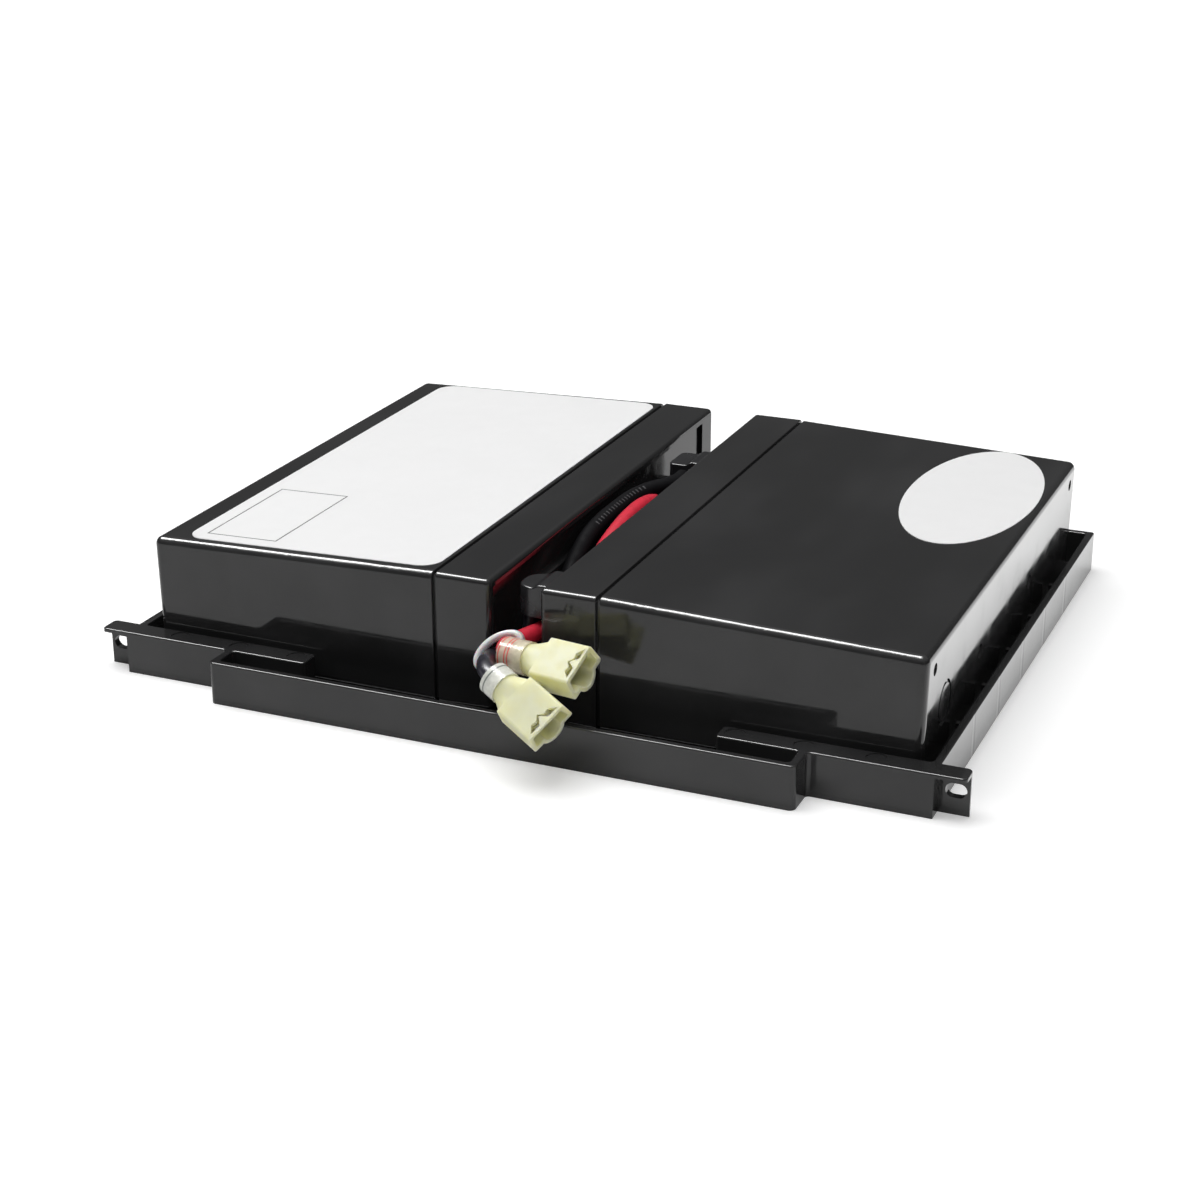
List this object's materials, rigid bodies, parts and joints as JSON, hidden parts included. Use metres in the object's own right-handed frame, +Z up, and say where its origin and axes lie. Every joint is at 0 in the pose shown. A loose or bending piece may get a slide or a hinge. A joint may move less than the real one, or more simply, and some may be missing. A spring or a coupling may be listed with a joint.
{
  "type": "ups battery cartridge",
  "caption": "Replaceable battery cartridge for a rack UPS: sealed batteries side by side in a low black tray with front ears, with red and black leads that end in ivory connectors.",
  "frame": {"origin": "centre of the tray's footprint on its underside, leads left out", "axes": "+X across both batteries and the ears, +Y from the front pocket to the rear wall, +Z up"},
  "size_m": [0.225, 0.192, 0.0371],
  "materials": {
    "tray_plastic": "glossy black moulding",
    "battery_plastic": "glossy black moulding",
    "label_white": "smooth white film",
    "tape_foam": "pale foam tape",
    "tinned_brass": "tin plated",
    "receptacle_brass": "stamped sheet",
    "boot_vinyl": "soft black vinyl",
    "red_insulation": "smooth red insulation",
    "black_insulation": "smooth black insulation",
    "ivory_nylon": "natural nylon",
    "tie_nylon": "white nylon",
    "clear_sleeve": "clear vinyl tube"
  },
  "bodies": {
    "root": {"tray": "tray_plastic", "left_battery_case": "battery_plastic", "right_battery_case": "battery_plastic", "left_battery_lid": "battery_plastic", "right_battery_lid": "battery_plastic", "left_vent_cover": "battery_plastic", "right_vent_cover": "battery_plastic", "left_label": "label_white", "right_label": "label_white", "left_tape_strips": "tape_foam", "right_tape_strips": "tape_foam", "left_negative_terminal": "tinned_brass", "left_positive_terminal": "tinned_brass", "right_negative_terminal": "tinned_brass", "right_positive_terminal": "tinned_brass", "left_negative_receptacle": "receptacle_brass", "left_positive_receptacle": "receptacle_brass", "right_negative_receptacle": "receptacle_brass", "right_positive_receptacle": "receptacle_brass", "left_negative_boot": "boot_vinyl", "left_positive_boot": "boot_vinyl", "right_negative_boot": "boot_vinyl", "right_positive_boot": "boot_vinyl", "red_lead": "red_insulation", "black_lead": "black_insulation", "jumper_lead": "black_insulation", "cable_tie": "tie_nylon", "red_connector_housing": "ivory_nylon", "black_connector_housing": "ivory_nylon", "red_connector_contact": "tinned_brass", "black_connector_contact": "tinned_brass", "red_connector_sleeve": "clear_sleeve", "black_connector_sleeve": "clear_sleeve"}
  },
  "joints": []
}
